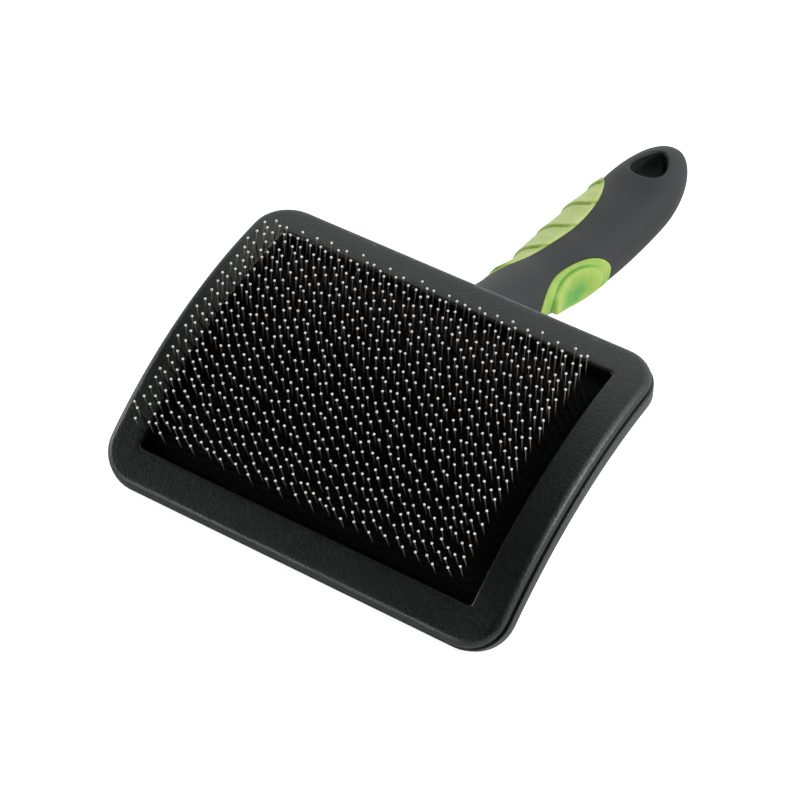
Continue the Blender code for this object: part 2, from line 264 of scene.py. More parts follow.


# %% [markdown]
# ## Finish: soft-touch grip rubber
#
# The handle's skin is a thermoplastic rubber, moulded over the hard core. It is duller than the
# ABS, with a faint bloom that makes large patches a little lighter. The lime inserts are the same
# rubber in another colour, slightly waxy, so light goes a short way in. Their colour is painted
# deeper in the dish and in the grooves, as painted shade, and paler on the raised edges, as a
# painted highlight. Each insert carries this tone with its painted shade at every point, from 0
# for pale to 1 for deep, and the material reads it.


# %% Grip rubbers
def grey_rubber():
    material, tree, shader, place = start_material("soft-touch grey rubber")
    shader.inputs["IOR"].default_value = 1.5
    bloom = add_node(
        tree, "ShaderNodeTexNoise", {"Vector": place, "Scale": per_mm(22), "Detail": 3.0}
    )
    satin = add_node(
        tree, "ShaderNodeTexNoise", {"Vector": place, "Scale": per_mm(0.5), "Detail": 2.0}
    )
    tint = add_node(
        tree,
        "ShaderNodeMix",
        {"Factor": bloom.outputs[0], 6: srgb("#101515"), 7: srgb("#1b2020")},
        {"data_type": "RGBA"},
    )
    tree.links.new(tint.outputs[2], shader.inputs["Base Color"])
    dull = add_node(
        tree, "ShaderNodeMapRange", {"Value": bloom.outputs[0], "To Min": 0.48, "To Max": 0.64}
    )
    tree.links.new(dull.outputs[0], shader.inputs["Roughness"])
    bump = add_node(
        tree,
        "ShaderNodeBump",
        {"Height": satin.outputs[0], "Strength": 0.25, "Distance": 0.05 * MM},
    )
    tree.links.new(bump.outputs[0], shader.inputs["Normal"])
    return material


def lime_rubber():
    material, tree, shader, place = start_material("soft-touch lime rubber")
    shader.inputs["IOR"].default_value = 1.5
    shader.inputs["Subsurface Weight"].default_value = 0.15
    shader.inputs["Subsurface Radius"].default_value = (0.6, 0.9, 0.2)
    shader.inputs["Subsurface Scale"].default_value = 1.2 * MM
    # The tone attribute is painted shade and highlight: the ramp runs from pale on raised edges to
    # deep green in dishes and grooves.
    tone_and_painted_shade = add_node(tree, "ShaderNodeAttribute", settings={"attribute_name": "tone_and_painted_shade"})
    mottle = add_node(
        tree, "ShaderNodeTexNoise", {"Vector": place, "Scale": per_mm(5), "Detail": 4.0}
    )
    uneven = add_node(
        tree,
        "ShaderNodeMapRange",
        {
            "Value": mottle.outputs[0],
            "From Min": 0.3,
            "From Max": 0.7,
            "To Min": -0.08,
            "To Max": 0.08,
        },
    )
    depth = add_node(tree, "ShaderNodeMath", {0: tone_and_painted_shade.outputs["Fac"], 1: uneven.outputs[0]})
    colours = add_node(tree, "ShaderNodeValToRGB", {"Fac": depth.outputs[0]})
    ramp = colours.color_ramp
    ramp.elements[0].color = srgb("#c9d48c")
    ramp.elements[1].color = srgb("#4f9a30")
    ramp.elements.new(0.35).color = srgb("#a2bd50")
    ramp.elements.new(0.65).color = srgb("#62a63c")
    tree.links.new(colours.outputs[0], shader.inputs["Base Color"])
    satin = add_node(
        tree, "ShaderNodeTexNoise", {"Vector": place, "Scale": per_mm(0.6), "Detail": 3.0}
    )
    dull = add_node(
        tree, "ShaderNodeMapRange", {"Value": mottle.outputs[0], "To Min": 0.42, "To Max": 0.58}
    )
    tree.links.new(dull.outputs[0], shader.inputs["Roughness"])
    bump = add_node(
        tree, "ShaderNodeBump", {"Height": satin.outputs[0], "Strength": 0.2, "Distance": 0.05 * MM}
    )
    tree.links.new(bump.outputs[0], shader.inputs["Normal"])
    return material


# %% [markdown]
# ## Finish: pad cloth, foam, wire and tips
#
# The staples are driven through cotton cloth bonded to black rubber. Its threads are about 0.4 mm
# apart, drawn here at 0.7 mm so that they show. The foam behind it is open cell, with pores about
# a millimetre wide. The pins are drawn carbon steel wire, grey with a little brown oxide, and each
# one ends in a small white ball of epoxy, dipped and cured, so that it doesn't scratch the pet. Low
# down, where the crowded pins keep the light out, they are painted near black, as painted shade.


# %% Pad, foam, wire and tip finishes
def pad_cloth():
    material, tree, shader, place = start_material("rubber-backed black cloth")
    shader.inputs["Roughness"].default_value = 0.9
    shader.inputs["Specular IOR Level"].default_value = 0.15
    threads = [
        add_node(
            tree,
            "ShaderNodeTexWave",
            {"Vector": place, "Scale": per_mm(0.7) / (2 * math.pi), "Distortion": 0.4},
            {"bands_direction": direction},
        )
        for direction in ("X", "Y")
    ]
    weave = add_node(
        tree,
        "ShaderNodeMath",
        {0: threads[0].outputs["Fac"], 1: threads[1].outputs["Fac"]},
        {"operation": "MULTIPLY"},
    )
    shade = add_node(
        tree,
        "ShaderNodeMix",
        {"Factor": weave.outputs[0], 6: srgb("#040404"), 7: srgb("#0d0e0e")},
        {"data_type": "RGBA"},
    )
    tree.links.new(shade.outputs[2], shader.inputs["Base Color"])
    bump = add_node(
        tree, "ShaderNodeBump", {"Height": weave.outputs[0], "Strength": 0.8, "Distance": 0.15 * MM}
    )
    tree.links.new(bump.outputs[0], shader.inputs["Normal"])
    return material


def open_cell_foam():
    material, tree, shader, place = start_material("open-cell grey foam")
    shader.inputs["Roughness"].default_value = 0.95
    pores = add_node(tree, "ShaderNodeTexVoronoi", {"Vector": place, "Scale": per_mm(1.0)})
    shade = add_node(
        tree,
        "ShaderNodeMix",
        {"Factor": pores.outputs["Distance"], 6: srgb("#202023"), 7: srgb("#4a4a50")},
        {"data_type": "RGBA"},
    )
    tree.links.new(shade.outputs[2], shader.inputs["Base Color"])
    bump = add_node(
        tree, "ShaderNodeBump", {"Height": pores.outputs["Distance"], "Distance": 0.3 * MM}
    )
    tree.links.new(bump.outputs[0], shader.inputs["Normal"])
    return material


def drawn_wire():
    material, tree, shader, place = start_material("drawn steel wire")
    shader.inputs["Metallic"].default_value = 0.85
    oxide = add_node(
        tree, "ShaderNodeTexNoise", {"Vector": place, "Scale": per_mm(3.0), "Detail": 3.0}
    )
    shade = add_node(
        tree,
        "ShaderNodeMix",
        {"Factor": oxide.outputs[0], 6: srgb("#8a7a6c"), 7: srgb("#bdb2a2")},
        {"data_type": "RGBA"},
    )
    # The low part of each wire is painted near black: painted shade, where the field keeps the
    # light out.
    rise = add_node(tree, "ShaderNodeAttribute", settings={"attribute_name": "rise"})
    clear_of_shade = add_node(
        tree,
        "ShaderNodeMapRange",
        {"Value": rise.outputs["Fac"], "From Min": 0.70, "From Max": 1.0},
    )
    shaded_near_cloth = add_node(
        tree,
        "ShaderNodeMix",
        {"Factor": clear_of_shade.outputs[0], 6: srgb("#14110f"), 7: shade.outputs[2]},
        {"data_type": "RGBA"},
    )
    tree.links.new(shaded_near_cloth.outputs[2], shader.inputs["Base Color"])
    worn = add_node(
        tree, "ShaderNodeMapRange", {"Value": oxide.outputs[0], "To Min": 0.3, "To Max": 0.5}
    )
    tree.links.new(worn.outputs[0], shader.inputs["Roughness"])
    return material


def epoxy_tip():
    material, tree, shader, place = start_material("white epoxy ball")
    shader.inputs["IOR"].default_value = 1.55
    shader.inputs["Roughness"].default_value = 0.35
    cast = add_node(tree, "ShaderNodeTexNoise", {"Vector": place, "Scale": per_mm(4.0)})
    shade = add_node(
        tree,
        "ShaderNodeMix",
        {"Factor": cast.outputs[0], 6: srgb("#e2e1da"), 7: srgb("#ffffff")},
        {"data_type": "RGBA"},
    )
    tree.links.new(shade.outputs[2], shader.inputs["Base Color"])
    return material


ABS = moulded_abs()
GREY = grey_rubber()
LIME = lime_rubber()
CLOTH = pad_cloth()
FOAM = open_cell_foam()
WIRE = drawn_wire()
TIP = epoxy_tip()
print("finishes:", [finish.name for finish in (ABS, GREY, LIME, CLOTH, FOAM, WIRE, TIP)])

# %% [markdown]
# ## Rings and skins
#
# The head's pieces are all rounded rectangles of different sizes at different heights, and the
# handle is a stack of rounded sections. So both are made the same way: a list of rings with equal
# numbers of points, joined by a skin of quads. The head's rings are drawn flat, as (x, arc,
# height), and bent over the drum when the skin is made. Long sides are cut into short steps, so
# that the bend is smooth.

# %% Rings and skins
CORNER_STEPS = 10
SIDE_STEPS = 30
FRAME_HALF_WIDTH = 60.3
FRAME_HALF_LENGTH = 46.6
FRAME_CORNER = 9.3
OPENING_HALF_WIDTH = 52.0
OPENING_HALF_LENGTH = 37.3


def rounded_ring(half_width, half_length, corner, height):
    """A rectangle with rounded corners, whose straight sides are cut into short steps."""
    corners = []
    for quarter in range(4):
        centre_x = (half_width - corner) * (1 if quarter in (0, 3) else -1)
        centre_y = (half_length - corner) * (1 if quarter in (0, 1) else -1)
        shares = [step / CORNER_STEPS for step in range(CORNER_STEPS + 1)]
        turns = [math.radians(90 * (quarter + share)) for share in shares]
        corners.append(
            [(centre_x + corner * math.cos(t), centre_y + corner * math.sin(t)) for t in turns]
        )
    points = []
    for quarter, arc in enumerate(corners):
        points += arc
        start, end = Vector(arc[-1]), Vector(corners[(quarter + 1) % 4][0])
        points += [tuple(start.lerp(end, step / SIDE_STEPS)) for step in range(1, SIDE_STEPS)]
    return [(x, y, height) for x, y in points]


def frame_ring(offset, height):
    corner = max(FRAME_CORNER + offset, 1.5)
    return rounded_ring(FRAME_HALF_WIDTH + offset, FRAME_HALF_LENGTH + offset, corner, height)


def opening_ring(offset, height):
    return rounded_ring(OPENING_HALF_WIDTH + offset, OPENING_HALF_LENGTH + offset, 1.2, height)


def rings_between(first, last, steps):
    """The rings that lead from one ring to another, without those two."""
    return [
        [tuple(Vector(a).lerp(Vector(b), step / steps)) for a, b in zip(first, last)]
        for step in range(1, steps)
    ]


def rings_to_middle(ring, steps=8):
    """The rings that shrink to a small hole in the middle, which a cap then closes."""
    shares = [1 - step / (steps + 0.3) for step in range(1, steps + 1)]
    return [[(x * share, y * share, height) for x, y, height in ring] for share in shares]


def rounding(radius, steps, centre_offset, centre_height, start, end):
    """(offset, height) pairs round a quarter of a circle, between two angles in degrees."""
    turns = [math.radians(start + (end - start) * step / steps) for step in range(steps + 1)]
    return [
        (centre_offset + radius * math.cos(t), centre_height + radius * math.sin(t)) for t in turns
    ]


def skin(name, rings, bend=None, closed=False):
    """A mesh of quads between rings. An open skin is capped at both ends."""
    bm = bmesh.new()
    loops = [[bm.verts.new(bend(*p) if bend else p) for p in ring] for ring in rings]
    pairs = list(zip(loops, loops[1:]))
    if closed:
        pairs.append((loops[-1], loops[0]))
    for upper, lower in pairs:
        for i, corner in enumerate(upper):
            j = (i + 1) % len(upper)
            bm.faces.new((corner, lower[i], lower[j], upper[j]))
    if not closed:
        bm.faces.new(loops[0])
        bm.faces.new(loops[-1])
    bmesh.ops.recalc_face_normals(bm, faces=bm.faces)
    mesh = bpy.data.meshes.new(name)
    bm.to_mesh(mesh)
    bm.free()
    return mesh


def combined(mesh, *steps):
    """The mesh after Boolean steps, each an operation and another mesh."""
    scratch = [bpy.data.objects.new("scratch", mesh)]
    bpy.context.scene.collection.objects.link(scratch[0])
    for operation, other in steps:
        helper = bpy.data.objects.new("scratch", other)
        bpy.context.scene.collection.objects.link(helper)
        scratch.append(helper)
        modifier = scratch[0].modifiers.new(operation, "BOOLEAN")
        modifier.operation = operation
        modifier.object = helper
        modifier.solver = "EXACT"
    graph = bpy.context.evaluated_depsgraph_get()
    result = bpy.data.meshes.new_from_object(scratch[0].evaluated_get(graph))
    for helper in scratch:
        bpy.data.objects.remove(helper)
    return result


# %% [markdown]
# ## The frame round the pins
#
# The frame is a flat plate whose outer edge rolls over in a wide, soft curve and whose inner edge
# is crisper. Its cross-section is a closed loop of (offset, height) pairs, and each pair becomes
# one ring. The wide curve is a quarter of an ellipse, because it is that edge that draws the
# bright line round the head.

# %% Rim frame
FRAME_UNDERSIDE = -3.0
EDGE_START = -0.8
EDGE_REACH = 2.4
EDGE_DROP = 2.2
INNER_ROUND = 0.7
INNER_WALL_STEP = -1.6
LOWER_ROUND = 0.3
FACE_STEPS = 5

outer_edge = [
    frame_ring(EDGE_START + EDGE_REACH * math.sin(turn), EDGE_DROP * (math.cos(turn) - 1))
    for turn in [math.radians(9 * step) for step in range(11)]
]
lower_reach = EDGE_START + EDGE_REACH - LOWER_ROUND
lower_round = rounding(LOWER_ROUND, 3, lower_reach, FRAME_UNDERSIDE + LOWER_ROUND, 0, -90)
lower_edge = [frame_ring(*pair) for pair in lower_round]
inner_wall = [opening_ring(0.0, FRAME_UNDERSIDE), opening_ring(0.0, INNER_WALL_STEP)]
inner_round = rounding(INNER_ROUND, 5, INNER_ROUND, -INNER_ROUND, 180, 90)
inner_wall += [opening_ring(*pair) for pair in inner_round]
face = rings_between(inner_wall[-1], outer_edge[0], FACE_STEPS)
rim_rings = outer_edge + lower_edge + inner_wall + face
add_piece(
    "framed_rim",
    skin("framed_rim", rim_rings, on_head, closed=True),
    [ABS],
    "brush_body",
    ["rim_frame"],
)

# %% [markdown]
# ## The handle's shape
#
# The handle follows one cubic Bezier curve in the plane of symmetry. Its sections are
# superellipses, a little squarer than an ellipse, with half widths and thicknesses eased between
# a few stations, and the end is rounded off like half an egg.

# %% Handle sections
HANDLE_CONTROLS = ((46.0, -29.5), (78.9, -60.0), (108.5, -80.5), (145.3, -86.9))
HANDLE_STATIONS = (
    (0.00, 7.9, 7.8),
    (0.22, 9.3, 8.2),
    (0.41, 12.0, 9.1),
    (0.60, 11.9, 9.6),
    (0.75, 12.0, 9.3),
)
NECK_STATIONS = ((-0.20, 21.0, 4.0), (-0.12, 14.0, 6.0), (-0.05, 9.2, 7.4), HANDLE_STATIONS[0])
HANDLE_LENGTH = 120.0
ROUNDNESS = 2.2
GRIP_START = -0.012
CORE_END = 0.68
CORE_HALF_WIDTH = 5.0
CORE_HALF_THICKNESS = 4.0


def handle_point(t):
    weights = ((1 - t) ** 3, 3 * (1 - t) ** 2 * t, 3 * (1 - t) * t**2, t**3)
    y = sum(w * point[0] for w, point in zip(weights, HANDLE_CONTROLS))
    z = sum(w * point[1] for w, point in zip(weights, HANDLE_CONTROLS))
    return Vector((0, y, z))


def handle_up(t):
    along = (handle_point(t + 0.001) - handle_point(t - 0.001)).normalized()
    return Vector((0, -along.z, along.y))


def eased_size(stations, t):
    if t <= stations[0][0]:
        return stations[0][1:]
    for (t0, w0, h0), (t1, w1, h1) in zip(stations, stations[1:]):
        if t <= t1:
            share = (t - t0) / (t1 - t0)
            share = share * share * (3 - 2 * share)
            return w0 + (w1 - w0) * share, h0 + (h1 - h0) * share
    return stations[-1][1:]


def handle_size(t):
    width, thickness = eased_size(HANDLE_STATIONS, t)
    last = HANDLE_STATIONS[-1][0]
    if t > last:
        egg = math.sqrt(max(1 - ((t - last) / (1 - last)) ** 2, 0.0))
        width *= egg
        thickness *= egg
    return width, thickness


def section_point(t, degrees, size, grow=0.0):
    """A point on the section at t. Zero degrees is the +X flank and ninety the top."""
    angle = math.radians(degrees)
    cosine, sine = math.cos(angle), math.sin(angle)
    power = 2 / ROUNDNESS
    across = math.copysign(abs(cosine) ** power, cosine) * (size[0] + grow)
    upwards = math.copysign(abs(sine) ** power, sine) * (size[1] + grow)
    return handle_point(t) + Vector((across, 0, 0)) + handle_up(t) * upwards


def section_ring(t, size, sides):
    return [section_point(t, 360 * side / sides, size) for side in range(sides)]


def core_rings(first, last, grow, sides):
    size = (CORE_HALF_WIDTH + grow, CORE_HALF_THICKNESS + grow)
    return [section_ring(first + (last - first) * step / 24, size, sides) for step in range(25)]


# %% [markdown]
# ## The tray, the neck and the core
#
# One moulding carries everything: the tray that holds the pad, the neck, and the core inside the
# grip. The tray starts as a solid skin: it crosses the seat that the frame rests on, rounds the
# flange and closes on the back. The frame stands 0.3 mm off the seat, which leaves a thin parting
# line. The neck and core are a second skin, and a Boolean union makes the two one body. The hollow
# for the foam and the pad is cut last, so that nothing of the neck is left standing inside it.

# %% Back shell
SEAT = -3.3
TRAY_FLOOR = -10.1
FLANGE_STEP = 2.3
FLANGE_ROUND = 0.3
FLANGE_HEIGHT = 3.5
BACK_ROUND = 1.1
MOUTH_HEIGHT = 5.0
NECK_START = -0.20
NECK_SIDES = 48
NECK_STEPS = 28

seat_ring = opening_ring(0.0, SEAT)
tray_rings = rings_to_middle(seat_ring)[::-1] + [seat_ring]
flange_edge = rounding(FLANGE_ROUND, 4, FLANGE_STEP - FLANGE_ROUND, SEAT - FLANGE_ROUND, 90, 0)
flange_edge += rounding(BACK_ROUND, 5, FLANGE_STEP - BACK_ROUND, SEAT - FLANGE_HEIGHT, 0, -70)
flange_edge += [(FLANGE_STEP - 5.1, SEAT - 7.1), (FLANGE_STEP - 7.5, SEAT - 8.2)]
flange_edge += [(FLANGE_STEP - 10.6, SEAT - 9.0)]
tray_rings += [frame_ring(offset, height) for offset, height in flange_edge]
tray_rings += rings_to_middle(tray_rings[-1])
tray = skin("tray", tray_rings, on_head)

floor_ring = opening_ring(0.0, TRAY_FLOOR)
mouth_ring = opening_ring(0.0, MOUTH_HEIGHT)
hollow_rings = rings_to_middle(mouth_ring)[::-1] + [mouth_ring]
hollow_rings += [floor_ring] + rings_to_middle(floor_ring)
hollow = skin("hollow", hollow_rings, on_head)

neck_end = GRIP_START - 0.3 / HANDLE_LENGTH
neck_reach = neck_end - NECK_START
neck_ts = [NECK_START + neck_reach * step / NECK_STEPS for step in range(NECK_STEPS + 1)]
neck_rings = [
    section_ring(t, eased_size(NECK_STATIONS, t) if t < 0 else handle_size(t), NECK_SIDES)
    for t in neck_ts
]
neck_rings += core_rings(neck_end + 0.002, CORE_END, 0.0, NECK_SIDES)
add_piece(
    "tray_and_neck",
    combined(tray, ("UNION", skin("neck", neck_rings)), ("DIFFERENCE", hollow)),
    [ABS],
    "brush_body",
    ["back_shell"],
)

# %% [markdown]
# ## Patches for the two inserts
#
# Each insert is a leaf-shaped patch of the handle's own surface, given as the middle and half
# length along the handle and the middle and half angle round it. A relief function gives, for a
# place on the patch, how far the rubber stands proud and its tone, which carries painted shade
# and painted highlight. Near the outline the relief rolls down below the grip's skin, which makes
# the fine dark seam. The same patch, a hair larger and taller, cuts the insert's pocket out of the
# grip.

# %% Insert patches
FINGER_PATCH = (0.445, 0.33, 172.0, 75.0)
THUMB_PATCH = (0.308, 0.148, -6.0, 57.0)
INSERT_DEPTH = 2.0
POCKET_DEPTH = INSERT_DEPTH + 0.3
POCKET_HEIGHT = 4.0
SEAM = 0.12
SEAM_SINK = 0.35
EDGE_ROLL = 0.9
LEAF_ROUNDNESS = 2.2


def patch_mesh(name, patch, rows, columns, relief, depth, grow=0.0):
    """A solid patch. relief(t, degrees, side, inset) gives (height, tone with painted shade)."""
    middle, half_length, centre, half_angle = patch
    half_length += grow / HANDLE_LENGTH
    half_angle += math.degrees(grow / HANDLE_STATIONS[2][1])
    bm = bmesh.new()
    tone_and_painted_shade_layer = bm.verts.layers.float.new("tone_and_painted_shade")
    tops, bottoms = [], []
    for row in range(rows + 1):
        along = -math.cos(math.pi * row / rows)
        t = middle + half_length * along
        size = handle_size(t)
        leaf = (1 - abs(along) ** LEAF_ROUNDNESS) ** (1 / LEAF_ROUNDNESS)
        reach = max(leaf, 0.04) * half_angle
        end_inset = (1 - abs(along)) * half_length * HANDLE_LENGTH
        top_row, bottom_row = [], []
        for column in range(columns + 1):
            side = -math.cos(math.pi * column / columns)
            degrees = centre + reach * side
            side_inset = (1 - abs(side)) * math.radians(reach) * size[0]
            height, tone_and_painted_shade = relief(t, degrees, side, min(side_inset, end_inset))
            top = bm.verts.new(section_point(t, degrees, size, height))
            top[tone_and_painted_shade_layer] = tone_and_painted_shade
            top_row.append(top)
            bottom = bm.verts.new(section_point(t, degrees, size, -depth))
            bottom[tone_and_painted_shade_layer] = tone_and_painted_shade
            bottom_row.append(bottom)
        tops.append(top_row)
        bottoms.append(bottom_row)
    for row in range(rows):
        for column in range(columns):
            for grid in (tops, bottoms):
                low, high = grid[row], grid[row + 1]
                bm.faces.new((low[column], low[column + 1], high[column + 1], high[column]))
        for column in (0, columns):
            upper = (tops[row][column], tops[row + 1][column])
            bm.faces.new((*upper, bottoms[row + 1][column], bottoms[row][column]))
    for row in (0, rows):
        for column in range(columns):
            upper = (tops[row][column], tops[row][column + 1])
            bm.faces.new((*upper, bottoms[row][column + 1], bottoms[row][column]))
    bmesh.ops.recalc_face_normals(bm, faces=bm.faces)
    mesh = bpy.data.meshes.new(name)
    bm.to_mesh(mesh)
    bm.free()
    return mesh


def rolled(height, inset):
    """The height, rolled down like a quarter circle within EDGE_ROLL of the outline."""
    share = min(max(inset / EDGE_ROLL, 0.0), 1.0)
    return -SEAM_SINK + (height + SEAM_SINK) * math.sqrt(1 - (1 - share) ** 2)


def pocket_relief(t, degrees, side, inset):
    return POCKET_HEIGHT, 0.0


def pocket(patch):
    """The cutter for an insert's pocket."""
    return patch_mesh("pocket", patch, 60, 32, pocket_relief, POCKET_DEPTH, SEAM)


# %% [markdown]
# ## The grip and its hang hole
#
# The grip is a fine skin of sections. Its end is rounded by spacing the last sections like the
# sine of an angle, so that none of the facets grows long. The hang hole is an egg shape, cut
# straight down as the brush lies. Real rubber has no sharp lip there, so the cutter flares: its
# upper and lower rings follow the grip's own surface, found by casting rays at it, round a quarter
# circle.

# %% Grip
GRIP_SIDES = 72
HOLE_STATION = 0.853
HOLE_HALF_WIDTH = 5.0
HOLE_HALF_LENGTH = 7.3
HOLE_TAPER = 0.3
HOLE_SIDES = 48
LIP_ROUND = 0.9

last_station = HANDLE_STATIONS[-1][0]
grip_ts = [GRIP_START + (last_station - GRIP_START) * step / 90 for step in range(90)]
grip_ts += [
    last_station + (0.9999 - last_station) * math.sin(math.pi / 2 * step / 40) for step in range(41)
]
grip_skin = skin("grip", [section_ring(t, handle_size(t), GRIP_SIDES) for t in grip_ts])

upright = Vector((0, math.sin(tilt), math.cos(tilt)))
forward = Vector((0, math.cos(tilt), -math.sin(tilt)))
surface = bmesh.new()
surface.from_mesh(grip_skin)
grip_tree = BVHTree.FromBMesh(surface)
surface.free()


def hole_ring(extra, sink, facing):
    """A ring of the cutter: widened by extra, and sunk below the surface on the side that faces."""
    centre = handle_point(HOLE_STATION)
    ring = []
    for side in range(HOLE_SIDES):
        turn = 2 * math.pi * side / HOLE_SIDES
        width = (HOLE_HALF_WIDTH * (1 - HOLE_TAPER * math.sin(turn)) + extra) * math.cos(turn)
        length = (HOLE_HALF_LENGTH + extra) * math.sin(turn)
        column = centre + Vector((width, 0, 0)) + forward * length
        hit = grip_tree.ray_cast(column + upright * 40 * facing, upright * -facing)[0]
        ring.append(hit - upright * sink * facing)
    return ring


lip_turns = [math.radians(15 * step) for step in range(7)]
lip = [(LIP_ROUND * (1 - math.cos(b)), LIP_ROUND * (1 - math.sin(b))) for b in lip_turns]
lip.append((LIP_ROUND + 0.4, -1.0))
hole_rings = [hole_ring(extra, sink, 1) for extra, sink in reversed(lip)]
hole_rings += [hole_ring(extra, sink, -1) for extra, sink in lip]
grip_mesh = combined(
    grip_skin,
    ("DIFFERENCE", skin("bore", core_rings(GRIP_START - 0.02, CORE_END + 0.005, 0.3, 32))),
    ("DIFFERENCE", pocket(FINGER_PATCH)),
    ("DIFFERENCE", pocket(THUMB_PATCH)),
    ("DIFFERENCE", skin("hole", hole_rings)),
)
add_piece(
    "soft_grip", grip_mesh, [GREY], "brush_body", ["handle_grip"], crease=50
)

# %% [markdown]
# ## The finger grip
#
# The long insert carries overlapping scales, so that fingers don't slip. Each scale starts with a
# small step up and falls away to the next one, and its edge runs straight across, with a hook
# where it meets the outline. The insert also swells in its middle, to fill the hand. All of that
# is one formula of the place on the patch. The formula also paints the grooves and the falling
# side of each scale a deeper green, as painted shade.

# %% Finger grip
SCALE_FIRST = 0.023
SCALE_STEP = 0.138
SCALE_HOOK = 0.035
SCALE_RISE = 0.7
SCALE_BASE = 0.2
GROOVE_WIDTH = 0.32
GROOVE_DEPTH = 0.3
SWELL_HEIGHT = 1.0
SWELL_MIDDLE = 0.60
SWELL_REACH = 0.15


def scale_relief(t, degrees, side, inset):
    lead = t - SCALE_HOOK * abs(side) ** 12
    place = (lead - SCALE_FIRST) / SCALE_STEP % 1.0
    gap = min(place, 1 - place) * SCALE_STEP * HANDLE_LENGTH
    groove = math.exp(-((gap / GROOVE_WIDTH) ** 2))
    bulge = math.exp(-(((t - SWELL_MIDDLE) / SWELL_REACH) ** 2))
    swell = SWELL_HEIGHT * bulge * (1 - side**2)
    height = SCALE_BASE + swell + SCALE_RISE * (1 - place) ** 1.5 - GROOVE_DEPTH * groove
    # The tone paints shade: deeper green in each groove and down the falling side of each scale.
    return rolled(height, inset), 0.08 + 0.10 * place + 0.40 * groove


add_piece(
    "finger_scales",
    patch_mesh("finger_scales", FINGER_PATCH, 320, 72, scale_relief, INSERT_DEPTH),
    [LIME],
    "brush_body",
    ["finger_grip"],
    crease=60,
)

# %% [markdown]
# ## The thumb rest
#
# The short insert is an oval with a flat border, a groove, and inside it a shell that rises and
# then dishes, with a faint swirl, where the thumb sits. The groove fades out at the far end. The
# dish and the groove are painted a deeper green, as painted shade, and the raised wall paler, as
# a painted highlight.

# %% Thumb rest
SHELL_MIDDLE = (0.312, -5.0)
SHELL_HALF_LENGTH = 12.5
SHELL_HALF_ANGLE = 45.0


def smooth(value):
    value = min(max(value, 0.0), 1.0)
    return value * value * (3 - 2 * value)


def shell_relief(t, degrees, side, inset):
    u = (t - SHELL_MIDDLE[0]) * HANDLE_LENGTH / SHELL_HALF_LENGTH
    w = (degrees - SHELL_MIDDLE[1]) / SHELL_HALF_ANGLE
    radius, turn = math.hypot(u, w), math.atan2(w, u)
    fade = 0.15 + 0.85 * smooth((abs(turn) - 0.5) / 0.9)
    groove = math.exp(-(((radius - 1) * SHELL_HALF_LENGTH * 0.8 / 0.45) ** 2)) * fade
    wall = smooth((1 - radius) / 0.14)
    dish = smooth((0.85 - radius) / 0.85)
    swirl = math.cos(turn + 6.5 * radius) * smooth((0.9 - radius) / 0.3)
    lift = smooth((0.36 - t) / 0.18) * smooth((20 - degrees) / 50)
    height = 0.2 + (0.45 * fade + 1.2 * lift) * wall - 0.9 * dish - 0.35 * groove + 0.10 * swirl
    # The tone paints shade and highlight: deeper in the dish and the groove, paler on the raised
    # wall, and it follows the swirl.
    tone_and_painted_shade = 0.40 + 0.42 * dish + 0.35 * groove - 0.06 * wall + 0.07 * swirl
    return rolled(height, inset), tone_and_painted_shade


add_piece(
    "thumb_shell",
    patch_mesh("thumb_shell", THUMB_PATCH, 180, 120, shell_relief, INSERT_DEPTH),
    [LIME],
    "brush_body",
    ["thumb_rest"],
    crease=60,
)

# %% [markdown]
# ## Foundation and foam
#
# The foundation is a sheet of cloth on rubber, and the foam fills the tray behind it. Both follow
# the head's curve, so they are skins of rounded rectangles too. The foam has soft edges. When the
# pad is pressed, the foundation sinks with its pins; the foam is left as it is.

# %% Foundation and foam
PAD_THICKNESS = 1.5
FOAM_TOP = -5.8
FOAM_THICKNESS = 4.0


def layer(name, half_width, half_length, top, thickness, edge):
    """A layer of the pad, with its edges rounded by edge."""
    profile = rounding(edge, 4, -edge, top - edge, 90, 0)
    profile += rounding(edge, 4, -edge, top - thickness + edge, 0, -90)
    rings = [
        rounded_ring(half_width + offset, half_length + offset, 1.5 + edge, height)
        for offset, height in profile
    ]
    rings = rings_to_middle(rings[0])[::-1] + rings + rings_to_middle(rings[-1])
    return skin(name, rings, on_head)


foundation = add_piece(
    "foundation_sheet",
    layer("foundation_sheet", PAD_HALF_WIDTH, PAD_HALF_LENGTH, PAD_FACE, PAD_THICKNESS, 0.3),
    [CLOTH],
    "sprung_pad",
    ["foundation_pad"],
)
foam = add_piece(
    "foam_layer",
    layer("foam_layer", PAD_HALF_WIDTH - 0.6, PAD_HALF_LENGTH - 0.6, FOAM_TOP, FOAM_THICKNESS, 0.8),
    [FOAM],
    "brush_body",
    ["foam_cushion"],
)
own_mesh(foam)

# %% [markdown]
# ## The pins
#
# 968 pins stand in 44 columns. Setting them by hand is hopeless and a particle system would
# scatter them, so Geometry Nodes place them by rule. A point is made for each pin, its number
# gives its column and row, and every fourth column starts at the same shift, as the staple machine
# leaves them. The points are laid on the drum. The sums for that are a list of named steps, which
# a loop turns into nodes. Each point gets the same pin: a wire that leans back from the cloth,
# kinks at the knee and leans forward, with a ball on its end. A small seeded lean keeps the field
# from looking printed, and one pin near the near left corner is bent out of line.

